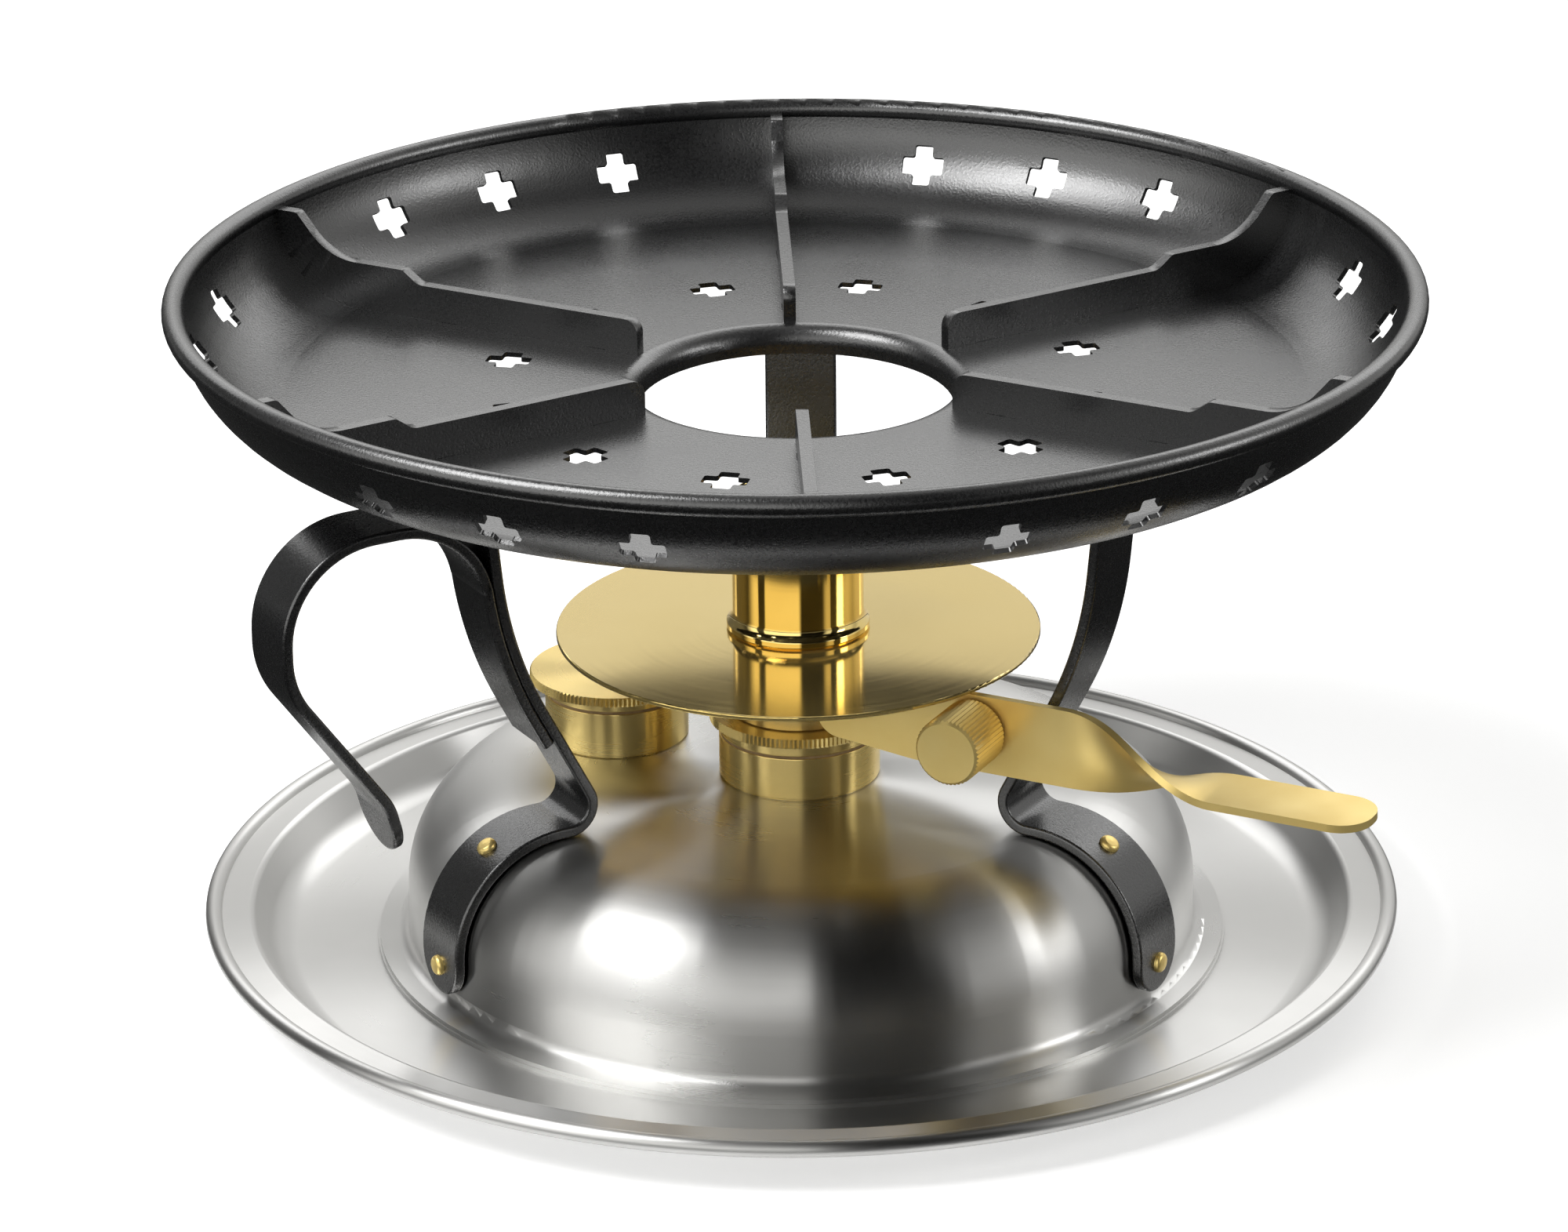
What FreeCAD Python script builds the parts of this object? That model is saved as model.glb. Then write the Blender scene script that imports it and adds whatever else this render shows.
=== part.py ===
import FreeCAD, Part
import math
import os
from FreeCAD import Vector

# Table-top spirit burner stand.  Millimetres, +Z up, origin on the table at the centre of the tray.
# Angles are degrees anticlockwise from +X, seen from above; the front of the stand faces -Y.

# Drip tray
TRAY_RADIUS = 122.1
TRAY_SHEET = 0.8
TRAY_BEAD = 1.7
TRAY_RIM_HEIGHT = 9.6
TRAY_WELL_RADIUS = 107.5
TRAY_STEP_RADIUS = 112.6

# Spirit tank
TANK_RADIUS = 80.5
TANK_TOP = 35.0
TANK_SHEET = 0.8
TANK_SHOULDER = 22.0
TANK_FLANGE_RADIUS = 87.0
TANK_FOOT_BEND = 2.8
WADDING_RADIUS = 76.0
WADDING_TOP = 28.0
WADDING_HOLE = 10.5

# Burner, on the tank's centre line
COLLAR_RADIUS = 16.4
COLLAR_TOP = 44.1
COLLAR_BORE = 13.45
GASKET_THICKNESS = 0.5
FLANGE_RADIUS = 18.3
FLANGE_BOTTOM = 47.1
FLANGE_TOP = 49.1
NECK_RADIUS = 12.0
NECK_BORE = 11.0
NECK_TOP = 74.0
SPIGOT_BOTTOM = 38.0
DISC_RADIUS = 49.0
DISC_BOTTOM = 65.8
DISC_THICKNESS = 1.0
TUBE_RADIUS = 13.3
TUBE_TOP = 95.0
TUBE_BEAD_RADIUS = 14.5
GAUZE_HEIGHT = 88.0
WICK_RADIUS = 9.0
WICK_TOP = 86.0
THREAD_CLEARANCE = 0.05

# Filler neck, off the centre line
FILLER_ANGLE = 150.0
FILLER_OFFSET = 43.5
FILLER_RADIUS = 14.8
FILLER_TOP = 44.6
FILLER_BORE = 12.25
CAP_RADIUS = 17.9
CAP_BOTTOM = 47.5
CAP_TOP = 49.4

# Flame regulator and its lever
LEVER_ANGLE = -27.0
LEVER_THICKNESS = 1.6
LEVER_WIDTH = 16.2
LEVER_MIDDLE = 57.4
LEVER_FACE = 14.2
PADDLE_WIDTH = 15.0
PADDLE_HEIGHT = 53.1
PADDLE_SHIFT = 2.1
PADDLE_END = 130.2
PADDLE_TURN = 90.5
TWIST_START = 66.0
TWIST_END = 99.0
RING_RADIUS = 14.0
RING_CLEARANCE = 0.06
RING_GAP = 0.3
LUG_LENGTH = 52.0
LUG_HEIGHT = 10.0
LUG_THICKNESS = 2.5
PORT_RADIUS = 2.0
PORT_HEIGHT = 57.0
SCREW_ALONG = 47.0
SCREW_HEIGHT = 58.2
SCREW_RADIUS = 2.0
KNOB_RADIUS = 6.85
KNOB_LENGTH = 13.2
WASHER_THICKNESS = 0.6

# Legs and handle, bent from one flat strap
LEG_ANGLES = {"leg_front_left": 209.0, "leg_front_right": 329.0, "leg_rear": 89.0}
STRAP_WIDTH = 15.0
STRAP_THICKNESS = 2.3
STRAP_GAP = 0.05
FOOT_TIP = 4.6
KNEE_RADIUS = 47.8
KNEE_BEND = 5.2
SHIN = (69.2, 77.3)
SHIN_BEND = 83.0
LEG_HEAD_RADIUS = 73.2
LEG_TAB_RADIUS = 88.0
RIVET_LOW = 10.6
RIVET_HIGH_ANGLE = 58.0
RIVET_HEAD = 2.1
RIVET_SHANK = 1.2
RIVET_TAIL = 1.8
RIVET_TAIL_GAP = 0.1

# Pan
PAN_RADIUS = 125.0
PAN_BEAD = 2.19
PAN_BEAD_HEIGHT = 138.4
PAN_FLOOR = 119.4
PAN_SHEET = 1.0
PAN_WALL_BEND = 19.6
PAN_WALL_RADIUS = 121.2
PAN_HOLE = 31.5
PAN_LIP_BOTTOM = 113.9
PAN_TURN = 1.6
PAN_SEAM = 25.0
VENT_SIZE = 9.0
VENT_ARM = 3.9
WALL_VENT_SPREAD = 13.75
WALL_VENT_TURN = 0.8
WALL_VENT_TILT = 55.0
FLOOR_VENT_RADIUS = 59.3
RIB_THICKNESS = 2.5
RIB_START = 35.5
RIB_TOP = 126.6
RIB_STEP_TOP = 129.3
RIB_TIP = 138.1
RIB_TABS = (45.0, 80.0)

UP = Vector(0, 0, 1)
ORIGIN = Vector(0, 0, 0)


# ---- helpers ----------------------------------------------------------------

def polar(radius, angle, height=0.0):
    """The point at a radius and angle about Z."""
    turn = math.radians(angle)
    return Vector(radius * math.cos(turn), radius * math.sin(turn), height)


def rounded_edges(corners, closed):
    """Edges through corners (x, z, radius) in the XZ plane, each corner rounded to its radius."""
    points = [Vector(x, 0, z) for x, z, _ in corners]
    count = len(points)
    stops = []
    for index, (point, (_, _, radius)) in enumerate(zip(points, corners)):
        at_end = not closed and index in (0, count - 1)
        if radius <= 0 or at_end:
            stops.append((point, None, point))
            continue
        back = (points[index - 1] - point).normalize()
        ahead = (points[(index + 1) % count] - point).normalize()
        half = back.getAngle(ahead) / 2
        reach = radius / math.tan(half)
        bisector = (back + ahead).normalize()
        middle = point + bisector * (radius / math.sin(half) - radius)
        stops.append((point + back * reach, middle, point + ahead * reach))
    edges = []
    for index, (start, middle, end) in enumerate(stops):
        if middle is not None:
            edges.append(Part.Arc(start, middle, end).toShape())
        if index + 1 < count or closed:
            following = stops[(index + 1) % count][0]
            if end.distanceToPoint(following) > 1e-6:
                edges.append(Part.LineSegment(end, following).toShape())
    return edges


def outline(corners):
    """A flat face in the XZ plane, bounded by rounded corners."""
    return Part.Face(Part.Wire(Part.__sortEdges__(rounded_edges(corners, True))))


def lathe(corners):
    """The solid turned about Z from corners (radius, height, rounding)."""
    return outline(corners).revolve(ORIGIN, UP, 360)


def lathe_with_bead(corners, bead_radius, bead_height, bead_size):
    """The solid turned about Z from corners, with a round rolled bead along its edge."""
    ring = Part.Circle(Vector(bead_radius, 0, bead_height), Vector(0, 1, 0), bead_size)
    bead = Part.Face(Part.Wire(ring.toShape()))
    profile = outline(corners).fuse(bead).removeSplitter()
    return profile.revolve(ORIGIN, UP, 360).Solids[0]


def beside(corners, distance):
    """An open path moved sideways, to the left of its direction, with its bends kept concentric."""
    points = [Vector(x, 0, z) for x, z, _ in corners]
    runs = [(b - a).normalize() for a, b in zip(points, points[1:])]
    lefts = [Vector(-run.z, 0, run.x) for run in runs]
    moved = []
    for index, (point, (_, _, radius)) in enumerate(zip(points, corners)):
        before = lefts[max(index - 1, 0)]
        after = lefts[min(index, len(lefts) - 1)]
        shift = (before + after) * (distance / (1 + before.dot(after)))
        if 0 < index < len(points) - 1 and radius > 0:
            turns_left = before.dot(runs[index]) > 0
            radius = radius - distance if turns_left else radius + distance
        moved.append((point.x + shift.x, point.z + shift.z, radius))
    return moved


def band(corners, thickness):
    """The corners of a strip of constant thickness that follows an open middle line."""
    left = beside(corners, thickness / 2)
    right = beside(corners, -thickness / 2)
    return left + right[::-1]


def slab(corners, width):
    """A flat outline in the XZ plane given a width along Y, centred on Y = 0."""
    return outline(corners).extrude(Vector(0, width, 0)).translated(Vector(0, -width / 2, 0))


def spun(shape, angle):
    """A copy turned about Z."""
    return shape.rotated(ORIGIN, UP, angle)


def knurled(radius, depth, count, bottom, height):
    """A straight-knurled cylinder: a prism with pointed teeth."""
    points = []
    for step in range(2 * count):
        reach = radius if step % 2 == 0 else radius - depth
        points.append(polar(reach, 180.0 * step / count, bottom))
    ring = Part.makePolygon(points + points[:1])
    return Part.Face(ring).extrude(Vector(0, 0, height))


def fuse(first, *others):
    """One solid from several, without the seams between them."""
    return first.fuse(list(others)).removeSplitter()


def save(name, shape):
    """Write one sub-part, as a plain solid when it has only one."""
    if len(shape.Solids) == 1:
        shape = shape.Solids[0]
    shape.exportStep("parts/" + name + ".step")
    print(name, len(shape.Solids), "solid", round(shape.Volume, 1), shape.isValid())


# ---- tray and tank ----------------------------------------------------------

def drip_tray():
    """Dished round tray with a flat rim and a rolled edge."""
    level = TRAY_SHEET / 2
    bead_centre = TRAY_RADIUS - TRAY_BEAD
    middle = [
        (0, level, 0),
        (TRAY_WELL_RADIUS, level, 7),
        (TRAY_STEP_RADIUS, TRAY_RIM_HEIGHT - 0.7, 1.4),
        (bead_centre - 0.8, TRAY_RIM_HEIGHT, 0),
    ]
    return lathe_with_bead(band(middle, TRAY_SHEET), bead_centre, TRAY_RIM_HEIGHT - 0.7, TRAY_BEAD)


def tank_dome():
    """Spun tank shell: flat top, round shoulder, upright wall and a foot flange."""
    wall = TANK_RADIUS - TANK_SHEET / 2
    top = TANK_TOP - TANK_SHEET / 2
    foot = TRAY_SHEET + TANK_SHEET * 1.5
    middle = [
        (COLLAR_RADIUS - 1.4, top, 0),
        (wall, top, TANK_SHOULDER - TANK_SHEET / 2),
        (wall, foot, TANK_FOOT_BEND),
        (TANK_FLANGE_RADIUS - 0.4, foot, 0),
    ]
    shell = lathe(band(middle, TANK_SHEET))
    filler_hole = Part.makeCylinder(FILLER_RADIUS - 1.4, 10, polar(FILLER_OFFSET, FILLER_ANGLE, TANK_TOP - 5))
    shanks = [rivet_shank(angle, place) for angle in LEG_ANGLES.values() for place in rivet_places()]
    return shell.cut([filler_hole] + shanks)


def tank_base():
    """Flat bottom of the tank, brazed under its foot flange."""
    return Part.makeCylinder(TANK_FLANGE_RADIUS, TANK_SHEET, Vector(0, 0, TRAY_SHEET))


def absorbent_wadding():
    """Fibre packing that fills the tank round the wick."""
    bottom = TRAY_SHEET + TANK_SHEET + 0.4
    return lathe([
        (WADDING_HOLE, bottom, 0),
        (WADDING_RADIUS, bottom, 2),
        (WADDING_RADIUS, WADDING_TOP, 15),
        (WADDING_HOLE, WADDING_TOP, 0),
    ])


# ---- burner and filler ------------------------------------------------------

def screw_collar(radius, bore, top):
    """Turned neck ring seated in a hole in the tank's top."""
    seat = TANK_TOP - 2.5
    return lathe([
        (bore, seat, 0),
        (radius - 1.4, seat, 0),
        (radius - 1.4, TANK_TOP, 0),
        (radius, TANK_TOP, 0),
        (radius, top, 0.3),
        (bore, top, 0),
    ])


def gasket(radius, bore, bottom):
    """Thin fibre sealing ring, a little smaller than the collar it lies on."""
    return lathe([
        (bore + 0.3, bottom, 0),
        (radius - 0.25, bottom, 0),
        (radius - 0.25, bottom + GASKET_THICKNESS, 0),
        (bore + 0.3, bottom + GASKET_THICKNESS, 0),
    ])


def burner_neck():
    """Screw-in burner body: threaded spigot, knurled flange and neck tube with side ports."""
    spigot = COLLAR_BORE - THREAD_CLEARANCE
    seat = COLLAR_TOP + GASKET_THICKNESS
    body = lathe([
        (NECK_BORE, SPIGOT_BOTTOM, 0),
        (spigot, SPIGOT_BOTTOM, 0.4),
        (spigot, seat, 0),
        (COLLAR_RADIUS, seat, 0.3),
        (COLLAR_RADIUS, FLANGE_BOTTOM, 0),
        (FLANGE_RADIUS - 0.8, FLANGE_BOTTOM, 0),
        (FLANGE_RADIUS - 0.8, FLANGE_TOP, 0),
        (NECK_RADIUS, FLANGE_TOP, 0),
        (NECK_RADIUS, NECK_TOP, 0.3),
        (NECK_BORE, NECK_TOP, 0),
    ])
    teeth = knurled(FLANGE_RADIUS, 0.4, 120, FLANGE_BOTTOM, FLANGE_TOP - FLANGE_BOTTOM)
    ring = teeth.cut(Part.makeCylinder(NECK_RADIUS + 1, 20, Vector(0, 0, FLANGE_BOTTOM - 5)))
    return fuse(body, ring).cut(ports(PORT_RADIUS))


def ports(radius):
    """Four radial drillings through the neck, at the regulator's windows."""
    start = Vector(0, 0, PORT_HEIGHT)
    return [Part.makeCylinder(radius, RING_RADIUS + 4, start, polar(1, 45 + 90 * k)) for k in range(4)]


def burner_disc():
    """Polished round heat shield between neck and tube."""
    return lathe([
        (NECK_RADIUS, DISC_BOTTOM, 0),
        (DISC_RADIUS, DISC_BOTTOM, 0.3),
        (DISC_RADIUS, DISC_BOTTOM + DISC_THICKNESS, 0.3),
        (NECK_RADIUS, DISC_BOTTOM + DISC_THICKNESS, 0),
    ])


def burner_tube():
    """Flame tube that flares to a rounded lip where it stands on the disc."""
    foot = DISC_BOTTOM + DISC_THICKNESS
    return lathe([
        (NECK_RADIUS, foot, 0),
        (TUBE_BEAD_RADIUS - 0.5, foot, 0),
        (TUBE_BEAD_RADIUS, foot + 0.5, 0.3),
        (TUBE_BEAD_RADIUS, foot + 1.7, 0.5),
        (TUBE_RADIUS, foot + 2.9, 2.4),
        (TUBE_RADIUS, foot + 8, 0),
        (TUBE_RADIUS, TUBE_TOP, 0.6),
        (NECK_RADIUS, TUBE_TOP, 0.5),
    ])


def burner_gauze():
    """Perforated disc that holds the wick down below the tube's mouth."""
    plate = Part.makeCylinder(NECK_RADIUS, 0.8, Vector(0, 0, GAUZE_HEIGHT))
    holes = [Part.makeCylinder(0.9, 4, Vector(0, 0, GAUZE_HEIGHT - 2))]
    for row in (1, 2, 3):
        for step in range(6 * row):
            centre = polar(3.1 * row, 60.0 * step / row, GAUZE_HEIGHT - 2)
            holes.append(Part.makeCylinder(0.9, 4, centre))
    return plate.cut(holes)


def wick():
    """Thick wick from the bottom of the tank to just below the gauze."""
    return lathe([
        (0, TRAY_SHEET + TANK_SHEET + 1, 0),
        (WICK_RADIUS, TRAY_SHEET + TANK_SHEET + 1, 1),
        (WICK_RADIUS, WICK_TOP, 1),
        (0, WICK_TOP, 0),
    ])


def filler_cap():
    """Screw cap: threaded plug, plain skirt and a knurled top."""
    plug = FILLER_BORE - THREAD_CLEARANCE
    seat = FILLER_TOP + GASKET_THICKNESS
    body = lathe([
        (0, CAP_BOTTOM - 1, 0),
        (plug - 2, CAP_BOTTOM - 1, 0),
        (plug - 2, seat - 5.5, 0),
        (plug, seat - 5.5, 0.4),
        (plug, seat, 0),
        (FILLER_RADIUS, seat, 0.3),
        (FILLER_RADIUS, CAP_BOTTOM, 0),
        (CAP_RADIUS - 0.8, CAP_BOTTOM, 0),
        (CAP_RADIUS - 0.8, CAP_TOP, 0),
        (0, CAP_TOP, 0),
    ])
    teeth = knurled(CAP_RADIUS, 0.4, 120, CAP_BOTTOM, CAP_TOP - CAP_BOTTOM)
    rim = teeth.common(lathe([
        (0, CAP_BOTTOM, 0),
        (CAP_RADIUS + 1, CAP_BOTTOM, 0),
        (CAP_RADIUS + 1, CAP_TOP - 1.3, 0),
        (CAP_RADIUS - 0.3, CAP_TOP, 0),
        (0, CAP_TOP, 0),
    ]))
    return fuse(body, rim)


def at_filler(shape):
    """Move a part turned about Z to the filler's own axis."""
    return shape.translated(polar(FILLER_OFFSET, FILLER_ANGLE))


# ---- regulator --------------------------------------------------------------

def at_lever(shape):
    """Turn a part drawn along +X into the lever's direction."""
    return spun(shape, LEVER_ANGLE)


def regulator_ring():
    """Sleeve that turns on the neck to cover its ports, with a flat lug for the lever."""
    bottom = FLANGE_TOP + RING_GAP
    top = DISC_BOTTOM - RING_GAP
    sleeve = Part.makeCylinder(RING_RADIUS, top - bottom, Vector(0, 0, bottom))
    lug = slab([
        (0, SCREW_HEIGHT - LUG_HEIGHT / 2, 0),
        (LUG_LENGTH, SCREW_HEIGHT - LUG_HEIGHT / 2, 3),
        (LUG_LENGTH, SCREW_HEIGHT + LUG_HEIGHT / 2, 3),
        (0, SCREW_HEIGHT + LUG_HEIGHT / 2, 0),
    ], LUG_THICKNESS)
    lug = at_lever(lug.translated(Vector(0, -LEVER_FACE + LUG_THICKNESS / 2, 0)))
    bore = Part.makeCylinder(NECK_RADIUS + RING_CLEARANCE, 40, Vector(0, 0, bottom - 5))
    tapped_hole = screw_axis_cylinder(SCREW_RADIUS + THREAD_CLEARANCE, -LEVER_FACE - 5, 20)
    return fuse(sleeve, lug).cut([bore, tapped_hole] + ports(PORT_RADIUS + 0.3))


def screw_axis_cylinder(radius, start, length):
    """A cylinder on the thumbscrew's axis, from a given distance off the lever's centre line."""
    base = Vector(SCREW_ALONG, start, SCREW_HEIGHT)
    return at_lever(Part.makeCylinder(radius, length, base, Vector(0, 1, 0)))


def lever_section(along, turn, width, height, shift):
    """One rectangle across the twisted part of the lever."""
    angle = math.radians(turn)
    wide = Vector(0, -math.sin(angle), math.cos(angle)) * (width / 2)
    thick = Vector(0, math.cos(angle), math.sin(angle)) * (LEVER_THICKNESS / 2)
    centre = Vector(along, shift - LEVER_FACE - LEVER_THICKNESS / 2, height)
    corners = [centre + wide + thick, centre + wide - thick, centre - wide - thick, centre - wide + thick]
    return Part.makePolygon(corners + corners[:1])


def lever():
    """Flat strip on edge, given a quarter twist into a thumb paddle."""
    half = LEVER_WIDTH / 2
    blade = slab([
        (12, LEVER_MIDDLE - 5.8, 5),
        (34, LEVER_MIDDLE - half, 30),
        (TWIST_START, LEVER_MIDDLE - half, 0),
        (TWIST_START, LEVER_MIDDLE + half, 0),
        (34, LEVER_MIDDLE + half, 30),
        (12, LEVER_MIDDLE + 5.8, 5),
    ], LEVER_THICKNESS)
    blade = blade.translated(Vector(0, -LEVER_FACE - LEVER_THICKNESS / 2, 0))
    sections = []
    steps = 10
    for step in range(steps + 1):
        part = step / steps
        ease = part * part * (3 - 2 * part)
        along = TWIST_START + part * (TWIST_END - TWIST_START)
        width = LEVER_WIDTH + ease * (PADDLE_WIDTH - LEVER_WIDTH)
        height = LEVER_MIDDLE + ease * (PADDLE_HEIGHT - LEVER_MIDDLE)
        sections.append(lever_section(along, PADDLE_TURN * ease, width, height, PADDLE_SHIFT * ease))
    twist = Part.makeLoft(sections, True)
    strip = fuse(blade, twist, paddle())
    hole = screw_axis_cylinder(SCREW_RADIUS + 0.2, -LEVER_FACE - 5, 10)
    return at_lever(strip).cut(hole)


def paddle():
    """The flat end of the lever, from the end of its twist to its rounded tip."""
    half = PADDLE_WIDTH / 2
    plate = slab([
        (TWIST_END, -half, 0),
        (PADDLE_END, -half, 6.8),
        (PADDLE_END, half, 6.8),
        (TWIST_END, half, 0),
    ], LEVER_THICKNESS)
    plate.rotate(ORIGIN, Vector(1, 0, 0), PADDLE_TURN)
    return plate.translated(Vector(0, PADDLE_SHIFT - LEVER_FACE - LEVER_THICKNESS / 2, PADDLE_HEIGHT))


def thumbscrew():
    """Knurled knob with a threaded shank that clamps the lever to the lug."""
    grip = knurled(KNOB_RADIUS, 0.35, 48, 0, KNOB_LENGTH)
    grip = grip.common(lathe([
        (0, 0, 0),
        (KNOB_RADIUS - 0.7, 0, 0),
        (KNOB_RADIUS + 0.2, 0.9, 0),
        (KNOB_RADIUS + 0.2, KNOB_LENGTH - 0.9, 0),
        (KNOB_RADIUS - 0.7, KNOB_LENGTH, 0),
        (0, KNOB_LENGTH, 0),
    ]))
    shank_length = WASHER_THICKNESS + LEVER_THICKNESS + LUG_THICKNESS + 1.5
    shank = Part.makeCylinder(SCREW_RADIUS, shank_length, Vector(0, 0, KNOB_LENGTH))
    screw = fuse(grip, shank)
    screw.rotate(ORIGIN, Vector(1, 0, 0), -90)
    knob_face = -LEVER_FACE - LEVER_THICKNESS - WASHER_THICKNESS - KNOB_LENGTH
    return at_lever(screw.translated(Vector(SCREW_ALONG, knob_face, SCREW_HEIGHT)))


def thumbscrew_washer():
    """Plain washer between knob and lever."""
    start = -LEVER_FACE - LEVER_THICKNESS - WASHER_THICKNESS
    plate = screw_axis_cylinder(5.0, start, WASHER_THICKNESS)
    return plate.cut(screw_axis_cylinder(SCREW_RADIUS + THREAD_CLEARANCE, start - 1, 3))


# ---- legs, handle and rivets ------------------------------------------------

def leg_path():
    """Middle line of a leg: up the tank, over its shoulder, back round the knee and up to the pan."""
    foot = TANK_RADIUS + STRAP_GAP + STRAP_THICKNESS / 2
    top = TANK_TOP + STRAP_GAP + STRAP_THICKNESS / 2
    head = PAN_FLOOR - PAN_SHEET - STRAP_THICKNESS / 2
    return [
        (foot, FOOT_TIP, 0),
        (foot, top, TANK_SHOULDER + STRAP_GAP + STRAP_THICKNESS / 2),
        (KNEE_RADIUS, top, KNEE_BEND),
        (SHIN[0], SHIN[1], SHIN_BEND),
        (LEG_HEAD_RADIUS, head, 4),
        (LEG_TAB_RADIUS, head, 0),
    ]


def hook_path():
    """Middle line of the handle: up the leg's outer face, over in a loop, down and in to a free end."""
    shin = beside(leg_path(), -STRAP_THICKNESS)
    knee, bend, head = shin[2], shin[3], shin[4]
    along = Vector(bend[0] - knee[0], 0, bend[1] - knee[1]).normalize()
    start = Vector(bend[0], 0, bend[1]) - along * 23.5
    crown = 106.3
    slope = (head[0] - bend[0]) / (head[1] - bend[1])
    return [
        (start.x, start.z, 0),
        bend,
        (bend[0] + slope * (crown - bend[1]), crown, 19),
        (116.0, crown, 19.2),
        (116.0, 78.7, 19),
        (95.6, 50.2, 12),
        (92.6, 38.8, 0),
    ]


def rounded_tip(tip, before):
    """What to cut from a strap so that it ends in a half circle at its tip."""
    end = Vector(tip[0], 0, tip[1])
    along = (end - Vector(before[0], 0, before[1])).normalize()
    normal = Vector(-along.z, 0, along.x)
    half = STRAP_WIDTH / 2
    corner = end - along * half - normal * 3 - Vector(0, half + 1, 0)
    waste = Part.makeBox(half + 2, STRAP_WIDTH + 2, 6)
    frame = FreeCAD.Matrix(along.x, 0, normal.x, corner.x,
                           along.y, 1, normal.y, corner.y,
                           along.z, 0, normal.z, corner.z,
                           0, 0, 0, 1)
    waste = waste.transformGeometry(frame)
    pin = Part.makeCylinder(half, 10, end - along * half - normal * 5, normal)
    return waste.cut(pin)


def leg(angle):
    """One strap leg with a rounded foot, drilled for its rivets."""
    path = leg_path()
    strap = slab(band(path, STRAP_THICKNESS), STRAP_WIDTH)
    strap = spun(strap.cut(rounded_tip(path[0], path[1])), angle)
    return strap.cut([rivet_shank(angle, place) for place in rivet_places()])


def handle_hook():
    """Loop handle, bent from the same strap and welded to the front left leg."""
    path = hook_path()
    strap = slab(band(path, STRAP_THICKNESS), STRAP_WIDTH)
    return spun(strap.cut(rounded_tip(path[-1], path[-2])), LEG_ANGLES["leg_front_left"])


def rivet_places():
    """Foot of each rivet's head on the strap's outer face, and the direction it points."""
    shoulder = Vector(TANK_RADIUS - TANK_SHOULDER, 0, TANK_TOP - TANK_SHOULDER)
    outside = STRAP_GAP + STRAP_THICKNESS
    out = Vector(1, 0, 0)
    rise = math.radians(RIVET_HIGH_ANGLE)
    slant = Vector(math.cos(rise), 0, math.sin(rise))
    low = Vector(TANK_RADIUS + outside, 0, RIVET_LOW)
    return [(low, out), (shoulder + slant * (TANK_SHOULDER + outside), slant)]


def rivet_shank(angle, place):
    """The cylinder of a rivet between its two heads."""
    foot, out = place
    length = STRAP_GAP + STRAP_THICKNESS + TANK_SHEET + RIVET_TAIL_GAP
    return spun(Part.makeCylinder(RIVET_SHANK, length, foot - out * length, out), angle)


def rivet(angle, place):
    """Round-headed rivet through strap and tank wall, with its tail set inside."""
    foot, out = place
    head = lathe([
        (0, 0, 0),
        (RIVET_HEAD, 0, 0),
        (RIVET_HEAD - 0.15, 1.1, 0.9),
        (0, 1.25, 0),
    ])
    head.rotate(ORIGIN, Vector(0, 1, 0), math.degrees(out.getAngle(UP)))
    head = spun(head.translated(foot), angle)
    inside = foot - out * (STRAP_GAP + STRAP_THICKNESS + TANK_SHEET + RIVET_TAIL_GAP)
    tail = spun(Part.makeCylinder(RIVET_TAIL, 0.7, inside, out * -1), angle)
    return fuse(rivet_shank(angle, place), head, tail)


def leg_rivets():
    """All six rivets."""
    return Part.makeCompound([rivet(angle, place) for angle in LEG_ANGLES.values() for place in rivet_places()])


# ---- pan --------------------------------------------------------------------

def vent():
    """Cutter for one plus-shaped vent, centred on the origin along Z."""
    long_bar = Part.makeBox(VENT_SIZE, VENT_ARM, 8, Vector(-VENT_SIZE / 2, -VENT_ARM / 2, -4))
    cross = fuse(long_bar, spun(long_bar, 90))
    uprights = [edge for edge in cross.Edges if abs(edge.tangentAt(edge.FirstParameter).z) > 0.99]
    return cross.makeFillet(0.55, uprights)


def floor_vents():
    """A ring of vents in the floor, two between each pair of ribs."""
    cutter = vent().translated(Vector(FLOOR_VENT_RADIUS, 0, PAN_FLOOR))
    return [spun(cutter, PAN_TURN + 15 + 30 * k) for k in range(12)]


def wall_vents():
    """Three vents in the wall between each pair of ribs, square to the curved wall."""
    tilt = math.radians(WALL_VENT_TILT)
    centre = Vector(PAN_WALL_RADIUS - PAN_WALL_BEND, 0, PAN_FLOOR + PAN_WALL_BEND)
    cutter = vent()
    cutter.rotate(ORIGIN, Vector(0, 1, 0), -WALL_VENT_TILT)
    cutter.translate(centre + Vector(math.sin(tilt), 0, -math.cos(tilt)) * PAN_WALL_BEND)
    angles = [60 * k + side * WALL_VENT_SPREAD for k in range(6) for side in (-1, 0, 1)]
    return [spun(cutter, PAN_TURN + WALL_VENT_TURN + angle) for angle in angles]


def rib_angles():
    """Directions of the six ribs."""
    return [PAN_TURN + 30 + 60 * k for k in range(6)]


def pan_bead():
    """Rolled edge of the pan."""
    return Part.makeTorus(PAN_RADIUS - PAN_BEAD, PAN_BEAD, Vector(0, 0, PAN_BEAD_HEIGHT), UP)


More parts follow.
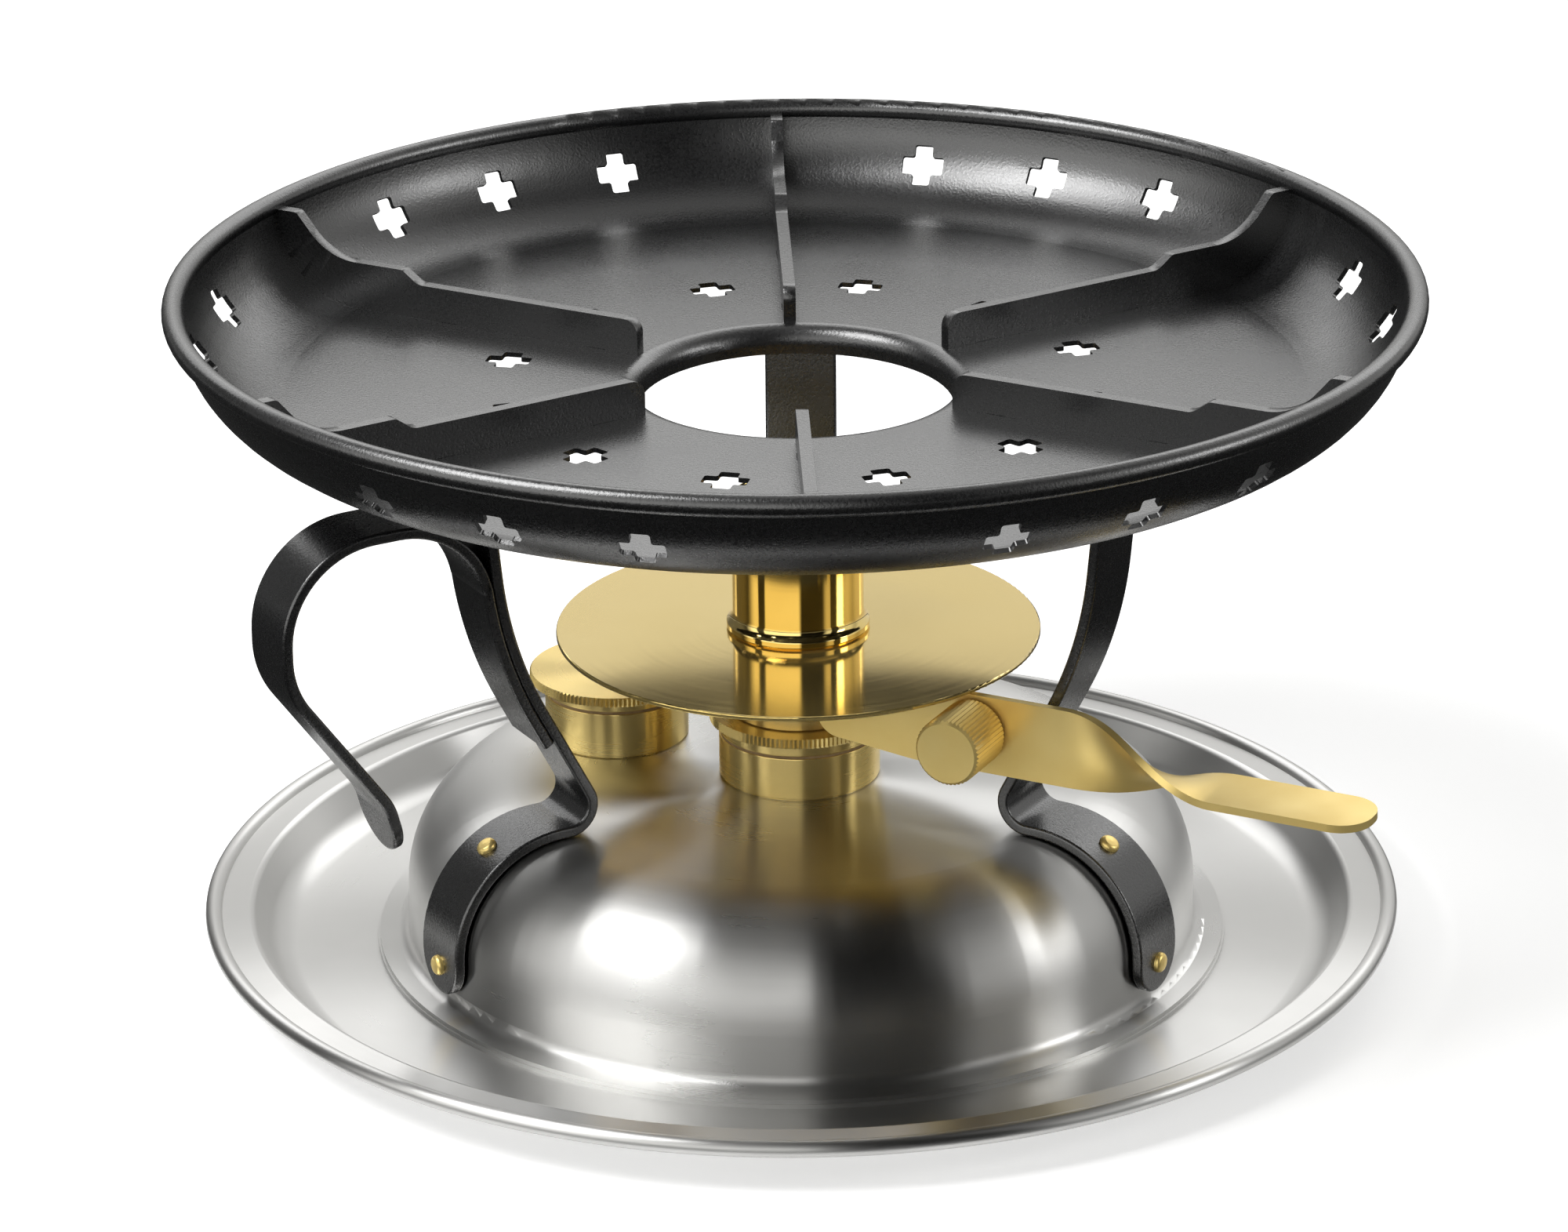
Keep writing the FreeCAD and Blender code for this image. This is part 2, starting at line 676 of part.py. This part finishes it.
def pan_bowl():
    """Shallow pressed pan with a flanged centre hole, vents, and slots for the ribs' tabs.

    Its surfaces of revolution start at PAN_SEAM, clear of every vent, so that no vent is cut by the seam.
    """
    half = PAN_SHEET / 2
    floor = PAN_FLOOR - half
    middle = [
        (PAN_HOLE + half, PAN_LIP_BOTTOM, 0),
        (PAN_HOLE + half, floor, 3),
        (PAN_WALL_RADIUS + half, floor, PAN_WALL_BEND + half),
        (PAN_WALL_RADIUS + half, PAN_FLOOR + PAN_WALL_BEND + 0.05, 0),
    ]
    pressed = lathe_with_bead(band(middle, PAN_SHEET), PAN_RADIUS - PAN_BEAD, PAN_BEAD_HEIGHT, PAN_BEAD)
    pressed = spun(pressed, PAN_SEAM)
    slots = [rib_tab(angle, radius, 0.1) for angle in rib_angles() for radius in RIB_TABS]
    return pressed.cut(floor_vents() + wall_vents() + slots)


def rib_tab(angle, radius, clearance):
    """A short tab under a rib, through the pan's floor."""
    length = 4 + 2 * clearance
    width = RIB_THICKNESS + 2 * clearance
    corner = Vector(radius - length / 2, -width / 2, PAN_FLOOR - PAN_SHEET)
    return spun(Part.makeBox(length, width, PAN_SHEET + 0.5, corner), angle)


def rib(angle):
    """Upright plate from the centre hole to the rim, shaped to the pan."""
    plate = slab([
        (RIB_START, PAN_FLOOR, 0),
        (RIB_START, RIB_TOP, 3),
        (87, RIB_TOP, 3.5),
        (90.7, RIB_STEP_TOP, 1.6),
        (108.5, RIB_STEP_TOP, 14),
        (115.9, RIB_TIP, 1.5),
        (PAN_RADIUS, RIB_TIP, 0),
        (PAN_RADIUS, PAN_FLOOR, 0),
    ], RIB_THICKNESS)
    inside = lathe([
        (0, PAN_FLOOR, 0),
        (PAN_WALL_RADIUS, PAN_FLOOR, PAN_WALL_BEND),
        (PAN_WALL_RADIUS, PAN_FLOOR + PAN_WALL_BEND + 5, 0),
        (0, PAN_FLOOR + PAN_WALL_BEND + 5, 0),
    ])
    plate = spun(plate.common(inside).cut(pan_bead()), angle)
    return fuse(plate, *[rib_tab(angle, radius, 0) for radius in RIB_TABS])


# ---- assembly ---------------------------------------------------------------

def main():
    """Write every sub-part."""
    os.makedirs("parts", exist_ok=True)
    save("drip_tray", drip_tray())
    save("tank_dome", tank_dome())
    save("tank_base", tank_base())
    save("absorbent_wadding", absorbent_wadding())
    save("burner_collar", screw_collar(COLLAR_RADIUS, COLLAR_BORE, COLLAR_TOP))
    save("burner_gasket", gasket(COLLAR_RADIUS, COLLAR_BORE, COLLAR_TOP))
    save("burner_neck", burner_neck())
    save("burner_disc", burner_disc())
    save("burner_tube", burner_tube())
    save("burner_gauze", burner_gauze())
    save("wick", wick())
    save("filler_collar", at_filler(screw_collar(FILLER_RADIUS, FILLER_BORE, FILLER_TOP)))
    save("filler_gasket", at_filler(gasket(FILLER_RADIUS, FILLER_BORE, FILLER_TOP)))
    save("filler_cap", at_filler(filler_cap()))
    save("regulator_ring", regulator_ring())
    save("lever", lever())
    save("thumbscrew", thumbscrew())
    save("thumbscrew_washer", thumbscrew_washer())
    for name, angle in LEG_ANGLES.items():
        save(name, leg(angle))
    save("handle_hook", handle_hook())
    save("leg_rivets", leg_rivets())
    save("pan_bowl", pan_bowl())
    for number, angle in enumerate(rib_angles(), 1):
        save("pan_rib_%d" % number, rib(angle))


main()
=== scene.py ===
import math

import bmesh
import bpy
from mathutils import Matrix, Vector

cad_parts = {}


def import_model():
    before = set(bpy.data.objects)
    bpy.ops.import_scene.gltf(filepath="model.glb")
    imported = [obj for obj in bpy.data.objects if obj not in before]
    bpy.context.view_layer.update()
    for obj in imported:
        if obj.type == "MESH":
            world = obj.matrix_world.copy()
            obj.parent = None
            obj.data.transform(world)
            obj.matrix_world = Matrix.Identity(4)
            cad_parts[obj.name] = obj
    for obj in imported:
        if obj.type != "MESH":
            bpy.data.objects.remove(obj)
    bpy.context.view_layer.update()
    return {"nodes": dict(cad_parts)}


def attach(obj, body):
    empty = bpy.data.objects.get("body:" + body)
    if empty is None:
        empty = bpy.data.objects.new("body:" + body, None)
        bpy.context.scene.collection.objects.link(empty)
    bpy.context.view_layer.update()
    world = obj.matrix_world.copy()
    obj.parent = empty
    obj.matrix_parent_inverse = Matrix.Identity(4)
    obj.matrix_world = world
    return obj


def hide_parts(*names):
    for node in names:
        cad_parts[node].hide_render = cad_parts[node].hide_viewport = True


# A table-top spirit burner on a drip tray, with a ribbed pan on strap legs. The CAD nodes keep their
# own meshes, except for the tray, the collars and the bent straps, which get cleaner ones here.
# Lengths are in metres, Z is up, and the front faces -Y.

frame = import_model()
nodes = frame["nodes"]

FILLER_REACH = 0.0435
FILLER_ANGLE = math.radians(30)
FILLER = (-FILLER_REACH * math.cos(FILLER_ANGLE), FILLER_REACH * math.sin(FILLER_ANGLE))


# ---- materials --------------------------------------------------------------

class NodeTree:
    """Short helpers that add nodes to one node tree."""

    def __init__(self, tree):
        self.tree = tree

    def feed(self, socket, value):
        """Link a socket to another node's output, or give it a constant."""
        if hasattr(value, "links"):
            self.tree.links.new(value, socket)
        else:
            socket.default_value = value

    def node(self, kind, inputs=None, **settings):
        made = self.tree.nodes.new(kind)
        for key, value in settings.items():
            setattr(made, key, value)
        for key, value in (inputs or {}).items():
            self.feed(made.inputs[key], value)
        return made

    def math(self, operation, first, second=0.0):
        return self.node("ShaderNodeMath", {0: first, 1: second}, operation=operation).outputs[0]

    def ramp(self, value, low, high, to_low=0.0, to_high=1.0, kind="LINEAR"):
        """The value carried from one range to another, and held at the ends."""
        inputs = {"Value": value, "From Min": low, "From Max": high, "To Min": to_low, "To Max": to_high}
        return self.node("ShaderNodeMapRange", inputs, interpolation_type=kind).outputs[0]


class Shader(NodeTree):
    """A Principled material."""

    def __init__(self, name, **sockets):
        self.material = bpy.data.materials.new(name)
        self.material.use_nodes = True
        super().__init__(self.material.node_tree)
        self.principled = self.tree.nodes["Principled BSDF"]
        for label, value in sockets.items():
            self.set(label.replace("_", " "), value)

    def set(self, label, value):
        self.feed(self.principled.inputs[label], value)

    def coords(self, centre=(0, 0, 0)):
        """Object position, measured from a centre."""
        position = self.node("ShaderNodeTexCoord").outputs["Object"]
        return self.node("ShaderNodeVectorMath", {0: position, 1: centre}, operation="SUBTRACT").outputs[0]

    def ring(self, vector):
        """Distance from the Z axis and height, as a vector for textures that run round the axis."""
        parts = self.node("ShaderNodeSeparateXYZ", {0: vector}).outputs
        flat = self.node("ShaderNodeCombineXYZ", {0: parts[0], 1: parts[1], 2: 0.0})
        radius = self.node("ShaderNodeVectorMath", {0: flat.outputs[0]}, operation="LENGTH")
        return self.node("ShaderNodeCombineXYZ", {0: radius.outputs["Value"], 1: 0.0, 2: parts[2]}).outputs[0]

    def noise(self, vector, scale, detail=2.0, rough=0.5):
        """Noise whose scale is in features to the metre."""
        inputs = {"Vector": vector, "Scale": scale, "Detail": detail, "Roughness": rough}
        return self.node("ShaderNodeTexNoise", inputs).outputs[0]

    def mix(self, factor, first, second):
        return self.node("ShaderNodeMix", {0: factor, 6: first, 7: second}, data_type="RGBA").outputs[2]

    def bump(self, height, distance, strength=1.0, normal=None):
        inputs = {"Height": height, "Distance": distance, "Strength": strength}
        if normal is not None:
            inputs["Normal"] = normal
        return self.node("ShaderNodeBump", inputs).outputs[0]


def black_coating():
    """Satin black stoved coating with a fine sandy grain."""
    s = Shader("black_coating", Metallic=0.0, IOR=2.05)
    where = s.coords()
    grain = s.noise(where, 1900, 3, 0.6)
    cloud = s.noise(where, 45, 3, 0.55)
    pit, crest = (0.0006, 0.0006, 0.0008, 1), (0.0034, 0.0035, 0.0040, 1)
    s.set("Base Color", s.mix(s.ramp(grain, 0.3, 0.7), pit, crest))
    rough = s.ramp(grain, 0.25, 0.75, 0.23, 0.33)
    s.set("Roughness", s.math("ADD", rough, s.ramp(cloud, 0.3, 0.7, -0.03, 0.03)))
    s.set("Normal", s.bump(grain, 0.00009, 0.6))
    return s.material


def turned_metal(name, colours, rough, lines, depth, anisotropic, metallic=1.0, lacquer=0.0, centre=(0, 0)):
    """Metal finished on a lathe: fine lines and bands of roughness round an upright axis, cloudy colour."""
    s = Shader(name, Metallic=metallic, Anisotropic=anisotropic, Anisotropic_Rotation=0.25,
               Coat_Weight=lacquer, Coat_Roughness=0.12)
    where = s.coords((*centre, 0))
    ring = s.ring(where)
    fine = s.noise(ring, lines, 2, 0.6)
    band = s.noise(ring, 900, 3, 0.6)
    cloud = s.noise(where, 28, 3, 0.5)
    s.set("Base Color", s.mix(s.ramp(cloud, 0.3, 0.7), *colours))
    s.set("Roughness", s.math("ADD", s.ramp(band, 0.3, 0.7, *rough), s.ramp(cloud, 0.35, 0.65, -0.02, 0.03)))
    s.set("Normal", s.bump(fine, depth, 1.0))
    s.set("Tangent", s.node("ShaderNodeTangent", direction_type="RADIAL", axis="Z").outputs[0])
    return s.material


def satin_brass():
    """Flat brass with fine rolling marks and a few soft hand-worked unevennesses."""
    s = Shader("satin_brass", Metallic=0.8)
    where = s.coords()
    cloud = s.noise(where, 60, 3, 0.5)
    fine = s.noise(where, 2400, 2, 0.6)
    s.set("Base Color", s.mix(s.ramp(cloud, 0.3, 0.7), (0.97, 0.75, 0.29, 1), (0.93, 0.69, 0.23, 1)))
    rough = s.ramp(cloud, 0.3, 0.7, 0.31, 0.40)
    s.set("Roughness", s.math("ADD", rough, s.ramp(fine, 0.3, 0.7, -0.02, 0.02)))
    s.set("Normal", s.bump(fine, 0.000003, 0.6, s.bump(cloud, 0.0001, 0.3)))
    return s.material


def fibre(name, light, dark, scale, depth):
    """Matt pressed fibre."""
    s = Shader(name, Roughness=0.9)
    strands = s.noise(s.coords(), scale, 6, 0.7)
    s.set("Base Color", s.mix(s.ramp(strands, 0.3, 0.7), dark, light))
    s.set("Normal", s.bump(strands, depth, 0.8))
    return s.material


STEEL = ((0.60, 0.597, 0.585, 1), (0.55, 0.547, 0.535, 1))
BRASS = ((0.90, 0.69, 0.26, 1), (0.86, 0.65, 0.22, 1))

coating = black_coating()
tray_steel = turned_metal("tray_steel", STEEL, rough=(0.29, 0.31), lines=2600, depth=0.0000005,
                          anisotropic=0.9)
dome_steel = turned_metal("dome_steel", STEEL, rough=(0.28, 0.30), lines=3600, depth=0.0000006,
                          anisotropic=1.0)
tube_brass = turned_metal("tube_brass", BRASS, rough=(0.06, 0.11), lines=2500, depth=0.000001,
                          anisotropic=0.6, lacquer=0.3)
disc_brass = turned_metal("disc_brass", BRASS, rough=(0.08, 0.12), lines=5000, depth=0.000001,
                          anisotropic=0.5, metallic=0.85, lacquer=0.35)
burner_brass = turned_metal("turned_brass", BRASS, rough=(0.25, 0.29), lines=6000, depth=0.000001,
                            anisotropic=0.9, metallic=0.8)
filler_brass = turned_metal("turned_filler_brass", BRASS, rough=(0.26, 0.30), lines=6000, depth=0.000001,
                            anisotropic=0.9, metallic=0.8, centre=FILLER)
satin = satin_brass()
gasket = fibre("gasket_fibre", (0.30, 0.20, 0.09, 1), (0.20, 0.13, 0.06, 1), 900, 0.0001)
wadding = fibre("wadding", (0.80, 0.77, 0.70, 1), (0.62, 0.59, 0.52, 1), 500, 0.0004)

finish_of = {
    "drip_tray": tray_steel, "tank_dome": dome_steel, "tank_base": tray_steel,
    "absorbent_wadding": wadding, "wick": wadding,
    "burner_collar": burner_brass, "burner_neck": burner_brass, "regulator_ring": burner_brass,
    "burner_disc": disc_brass, "burner_tube": tube_brass,
    "filler_collar": filler_brass, "filler_cap": filler_brass,
    "burner_gauze": satin, "leg_rivets": satin,
    "lever": satin, "thumbscrew": satin, "thumbscrew_washer": satin,
    "burner_gasket": gasket, "filler_gasket": gasket,
}
for name, node in nodes.items():
    node.data.materials.clear()
    node.data.materials.append(finish_of.get(name, coating))


# ---- meshes -----------------------------------------------------------------

def made_of(name, verts, faces, material):
    """A smooth mesh object whose doubled points are joined."""
    mesh = bpy.data.meshes.new(name)
    mesh.from_pydata(verts, [], faces)
    work = bmesh.new()
    work.from_mesh(mesh)
    bmesh.ops.remove_doubles(work, verts=work.verts, dist=0.0000005)
    bmesh.ops.recalc_face_normals(work, faces=work.faces)
    work.to_mesh(mesh)
    work.free()
    mesh.shade_smooth()
    mesh.set_sharp_from_angle(angle=math.radians(35))
    mesh.materials.append(material)
    made = bpy.data.objects.new(name, mesh)
    bpy.context.collection.objects.link(made)
    even = made.modifiers.new("even", "WEIGHTED_NORMAL")
    even.mode = "FACE_AREA"
    even.weight = 90
    even.keep_sharp = True
    return made


def faces_between(rings, count, closed):
    """Faces that join each ring of points to the one after it."""
    faces = []
    for k in range(rings if closed else rings - 1):
        here, there = k * count, (k + 1) % rings * count
        for j in range(count):
            following = (j + 1) % count
            faces.append((here + j, here + following, there + following, there + j))
    return faces


def stand_in(made, node, body):
    """Show a mesh in place of a CAD node."""
    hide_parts(node)
    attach(made, body)


def rounded_line(corners):
    """Points along a path of corners (radius, height, rounding), each bend swept by an arc."""
    steps = 18
    places = [Vector((x, z)) for x, z, _ in corners]
    points = [places[0]]
    for index in range(1, len(corners) - 1):
        corner, size = places[index], corners[index][2]
        back = (places[index - 1] - corner).normalized()
        ahead = (places[index + 1] - corner).normalized()
        half = back.angle(ahead) / 2
        centre = corner + (back + ahead).normalized() * (size / math.sin(half))
        start = corner + back * (size / math.tan(half)) - centre
        sweep = start.angle_signed(corner + ahead * (size / math.tan(half)) - centre)
        for step in range(steps + 1):
            points.append(centre + Matrix.Rotation(-sweep * step / steps, 2) @ start)
    return points + [places[-1]]


# ---- spun and turned pieces ---------------------------------------------------

def beside(points, distance):
    """The path moved to its left."""
    moved = []
    for index, point in enumerate(points):
        before = points[max(index - 1, 0)]
        after = points[min(index + 1, len(points) - 1)]
        along = (after - before).normalized()
        moved.append(point + Vector((-along.y, along.x)) * distance)
    return moved


def beaded_sheet(corners, thickness, bead, bead_size):
    """The outline of a sheet that ends in a rolled bead, from its upper face round to its lower face."""
    steps = 28
    line = rounded_line(corners)
    centre = Vector(bead)
    upper = [p for p in beside(line, thickness / 2) if (p - centre).length > bead_size]
    lower = [p for p in beside(line, -thickness / 2) if (p - centre).length > bead_size]
    start = math.atan2(upper[-1].y - centre.y, upper[-1].x - centre.x)
    end = math.atan2(lower[-1].y - centre.y, lower[-1].x - centre.x) - 2 * math.pi
    turns = [start + (end - start) * k / steps for k in range(steps + 1)]
    roll = [centre + Vector((math.cos(turn), math.sin(turn))) * bead_size for turn in turns]
    return upper + roll + lower[::-1]


def lathe(name, outline, material, segments=288, centre=(0, 0)):
    """A mesh turned about an upright axis from a closed outline of radius and height."""
    verts = []
    for k in range(segments):
        turn = 2 * math.pi * k / segments
        verts += [(centre[0] + p.x * math.cos(turn), centre[1] + p.x * math.sin(turn), p.y) for p in outline]
    return made_of(name, verts, faces_between(segments, len(outline), closed=True), material)


def tray():
    """The drip tray: flat floor, sloping wall, flat rim and a rolled bead."""
    sheet = 0.0008
    wall_foot, foot_bend = 0.1075, 0.007
    wall_top, top_bend = (0.1126, 0.0089), 0.0014
    rim_end = (0.1196, 0.0096)
    bead, bead_size = (0.1204, 0.0089), 0.0017
    path = [(0, sheet / 2, 0), (wall_foot, sheet / 2, foot_bend), (*wall_top, top_bend), (*rim_end, 0)]
    made = lathe("tray", beaded_sheet(path, sheet, bead, bead_size), tray_steel)
    stand_in(made, "drip_tray", "stand")


def collar(name, radius, bore, top, centre, material):
    """A turned collar with broken edges and a fine shadow line where it meets the tank."""
    foot, edge, groove = 0.035, 0.0003, 0.0004
    profile = [
        (bore, top), (radius - edge, top), (radius - edge * 0.3, top - edge * 0.3), (radius, top - edge),
        (radius, foot + 0.0005), (radius - 0.0001, foot + 0.0003), (radius - groove, foot + 0.0002),
        (radius - groove, foot), (bore, foot),
    ]
    made = lathe(name, [Vector(point) for point in profile], material, 192, centre)
    stand_in(made, name, "stand")


tray()
collar("burner_collar", 0.0164, 0.01345, 0.0441, (0, 0), burner_brass)
collar("filler_collar", 0.0148, 0.01225, 0.0446, FILLER, filler_brass)


# ---- bent straps --------------------------------------------------------------

STRAP_WIDTH = 0.015
STRAP_THICKNESS = 0.0023
STRAP_EDGE = 0.0006

# Middle lines in the upright plane, as corners of (radius, height, rounding).
# The leg runs from the dome's foot over its shoulder and the knee up under the pan's floor.
LEG_LINE = [
    (0.0817, 0.0046, 0), (0.0817, 0.0362, 0.0232), (0.0478, 0.0362, 0.0052),
    (0.0692, 0.0773, 0.083), (0.0732, 0.11725, 0.004), (0.088, 0.11725, 0),
]
# The handle runs up the leg's outer face, over the loop and down to the free tail.
HOOK_LINE = [
    (0.060591, 0.055787, 0), (0.071444, 0.07663, 0.0853), (0.074415, 0.1063, 0.019),
    (0.116, 0.1063, 0.0192), (0.116, 0.0787, 0.019), (0.0956, 0.0502, 0.012), (0.0926, 0.0388, 0),
]
LEG_ANGLES = {"leg_front_left": 209, "leg_front_right": 329, "leg_rear": 89}


def reader(points):
    """A function that gives place and direction at a distance along a line, and the points' distances."""
    stops = [0.0]
    for before, after in zip(points, points[1:]):
        stops.append(stops[-1] + (after - before).length)
    runs = [(after - before).normalized() for before, after in zip(points, points[1:])]
    last = len(runs) - 1
    leans = [(runs[max(k - 1, 0)] + runs[min(k, last)]).normalized() for k in range(len(points))]

    def read(distance):
        k = 0
        while k < last and stops[k + 1] < distance:
            k += 1
        part = (distance - stops[k]) / (stops[k + 1] - stops[k])
        lean = leans[k].lerp(leans[k + 1], min(max(part, 0), 1)).normalized()
        return points[k].lerp(points[k + 1], part), lean

    return read, stops


def strap_layers():
    """One side of the bar's section from top to bottom, as pairs of height and inset from the full width."""
    upper = []
    for degrees in (0, 22.5, 45, 67.5, 90):
        bend = math.radians(degrees)
        height = STRAP_THICKNESS / 2 - STRAP_EDGE * (1 - math.cos(bend))
        upper.append((height, STRAP_EDGE * (1 - math.sin(bend))))
    return upper + [(-height, inset) for height, inset in upper[::-1]]


def strap_cuts(layers, stops, round_start, round_end):
    """Cuts across the bar, each a list of distance along it and half width for every layer."""
    half, length, margin = STRAP_WIDTH / 2, stops[-1], 0.0003
    turns = [math.radians(7.5 * k) for k in range(13)]

    def straight(distance):
        return [(distance, half - inset) for _, inset in layers]

    def rounded(centre, way, turn):
        return [(centre + way * (half - inset) * math.cos(turn), (half - inset) * math.sin(turn))
                for _, inset in layers]

    first = half if round_start else 0
    last = length - half if round_end else length
    start = [rounded(half, -1, turn) for turn in turns] if round_start else [straight(0.0)]
    middle = [straight(stop) for stop in stops if first + margin < stop < last - margin]
    end = [rounded(length - half, 1, turn) for turn in turns[::-1]] if round_end else [straight(length)]
    return start + middle + end


def strap(name, corners, angle, round_start=False, round_end=False):
    """Flat bar bent in the upright plane at an angle, with softly broken edges and half-round ends."""
    read, stops = reader(rounded_line(corners))
    layers = strap_layers()
    cuts = strap_cuts(layers, stops, round_start, round_end)
    east, north = math.cos(math.radians(angle)), math.sin(math.radians(angle))
    verts = []
    for cut in cuts:
        for side in (1, -1):
            for (distance, wide), (height, _) in list(zip(cut, layers))[::side]:
                place, along = read(distance)
                flat = place + Vector((-along.y, along.x)) * height
                across = wide * side
                verts.append((flat.x * east - across * north, flat.x * north + across * east, flat.y))
    count = 2 * len(layers)
    faces = faces_between(len(cuts), count, closed=False)
    faces.append(tuple(range(count)))
    faces.append(tuple(range(len(verts) - count, len(verts))))
    stand_in(made_of(name, verts, faces, coating), name, "stand")


for name, angle in LEG_ANGLES.items():
    strap(name, LEG_LINE, angle, round_start=True)
strap("handle_hook", HOOK_LINE, LEG_ANGLES["leg_front_left"], round_end=True)


# ---- ribs -------------------------------------------------------------------

def soften(piece, width):
    """Take the sharp edge off a cut plate."""
    weld = piece.modifiers.new("weld", "WELD")
    weld.merge_threshold = 0.000002
    bevel = piece.modifiers.new("edges", "BEVEL")
    bevel.width = width
    bevel.segments = 3
    bevel.limit_method = "ANGLE"
    bevel.angle_limit = math.radians(45)
    bevel.harden_normals = True


for name, node in nodes.items():
    if name.startswith("pan_rib"):
        soften(node, 0.0003)


# ---- studio -----------------------------------------------------------------

def at_bearing(bearing, rise, distance):
    """A place seen from the object at degrees right of the front and degrees above the table."""
    turn, lift = math.radians(bearing), math.radians(rise)
    return (
        distance * math.sin(turn) * math.cos(lift),
        -distance * math.cos(turn) * math.cos(lift),
        distance * math.sin(lift),
    )


def softbox(name, place, aim, width, height, power, seen=True):
    """A rectangular lamp that faces a point, and that the camera may see or not."""
    light = bpy.data.lights.new(name, "AREA")
    light.shape = "RECTANGLE"
    light.size, light.size_y = width, height
    light.energy = power
    made = bpy.data.objects.new(name, light)
    bpy.context.collection.objects.link(made)
    made.location = place
    made.rotation_euler = (Vector(aim) - Vector(place)).to_track_quat("-Z", "Y").to_euler()
    made.visible_camera = seen


def flat_piece(name, verts, faces, material):
    """A flat mesh of the studio."""
    mesh = bpy.data.meshes.new(name)
    mesh.from_pydata(verts, [], faces)
    mesh.materials.append(material)
    made = bpy.data.objects.new(name, mesh)
    bpy.context.collection.objects.link(made)
    return made


def floor():
    """White paper under the object, lit a little from within so that it stays pale."""
    size = 6.0
    s = Shader("floor_paper", Base_Color=(0.93, 0.93, 0.93, 1), Roughness=0.7,
               Emission_Color=(1, 1, 1, 1), Emission_Strength=0.4)
    s.set("Normal", s.bump(s.noise(s.coords(), 400, 2), 0.00005, 0.3))
    corners = [(-size, -size, 0), (size, -size, 0), (size, size, 0), (-size, size, 0)]
    made = flat_piece("floor", corners, [(0, 1, 2, 3)], s.material)
    made.location.z = -0.0002


def dark_mat():
    """A black ring on the table that only shows in reflections."""
    count, inner, outer, height = 96, 0.135, 3.0, 0.0002
    turns = [2 * math.pi * k / count for k in range(count)]
    ring = [(r * math.cos(turn), r * math.sin(turn), height) for r in (inner, outer) for turn in turns]
    faces = [(k, count + k, count + (k + 1) % count, (k + 1) % count) for k in range(count)]
    black = Shader("dark_mat", Base_Color=(0.004, 0.004, 0.004, 1), Roughness=0.9).material
    made = flat_piece("dark_mat", ring, faces, black)
    made.visible_camera = False
    made.visible_diffuse = False
    made.visible_shadow = False
    made.visible_transmission = False


def world():
    """A studio room by direction: bright walls left and right, a dimmer one behind, dark in the gaps."""
    made = bpy.data.worlds.new("studio")
    made.use_nodes = True
    s = NodeTree(made.node_tree)

    def step(value, start, end, low=0.0, high=1.0):
        return s.ramp(value, start, end, low, high, kind="SMOOTHSTEP")

    direction = s.node("ShaderNodeTexCoord").outputs["Generated"]
    east, north, up = s.node("ShaderNodeSeparateXYZ", {0: direction}).outputs
    degree = 180 / math.pi
    bearing = s.math("MULTIPLY", s.math("ARCTAN2", east, s.math("MULTIPLY", north, -1.0)), degree)
    rise = s.math("MULTIPLY", s.math("ARCSINE", up), degree)

    left_wall = s.math("MULTIPLY", step(bearing, -100, -80), step(bearing, 0, 6, 1, 0))
    left_wall = s.math("MULTIPLY", left_wall, step(rise, 12, 60, 1.5, 0.15))
    right_wall = s.math("MULTIPLY", step(bearing, 42, 52), step(bearing, 95, 115, 1, 0))
    right_wall = s.math("MULTIPLY", right_wall, step(rise, 20, 60, 0.8, 0.15))
    behind = step(s.math("ABSOLUTE", s.math("ADD", bearing, 25)), 120, 150)
    behind = s.math("MULTIPLY", behind, step(rise, 35, 80, 0.74, 0.4))
    left_glow = step(bearing, -112, -92, 0.13, 0.0)
    darkest = 0.006

    total = s.math("ADD", s.math("ADD", left_wall, right_wall), s.math("ADD", behind, darkest))
    total = s.math("ADD", total, left_glow)
    background = s.tree.nodes["Background"]
    s.feed(background.inputs["Color"], (1.0, 0.995, 0.975, 1))
    s.feed(background.inputs["Strength"], total)
    bpy.context.scene.world = made


def camera():
    """The view from the front and above, rolled a little, with a long lens."""
    rise, roll, distance = math.radians(21.558), math.radians(-0.642), 1.23325
    target = Vector((-0.002861, 0, 0.068736))
    back = Vector((0, -math.cos(rise), math.sin(rise)))
    level = Vector((1, 0, 0))
    right = level * math.cos(roll) + back.cross(level) * math.sin(roll)
    up = back.cross(right)
    place = target + back * distance
    data = bpy.data.cameras.new("camera")
    data.lens = 140.03
    data.sensor_width = 36.0
    made = bpy.data.objects.new("camera", data)
    bpy.context.collection.objects.link(made)
    made.matrix_world = Matrix((
        (right.x, up.x, back.x, place.x),
        (right.y, up.y, back.y, place.y),
        (right.z, up.z, back.z, place.z),
        (0, 0, 0, 1)))
    bpy.context.scene.camera = made


floor()
world()
camera()
softbox("key", at_bearing(-70, 57, 1.5), (0, 0, 0.08), 0.78, 0.78, 16.5)
softbox("side", at_bearing(77, 25, 1.4), (0, 0, 0.08), 0.36, 0.42, 2.4)
softbox("back", (0, 0.7, 0.62), (0, 0, 0.12), 1.5, 0.4, 3.0, seen=False)
dark_mat()
bpy.context.scene.view_settings.view_transform = "Standard"
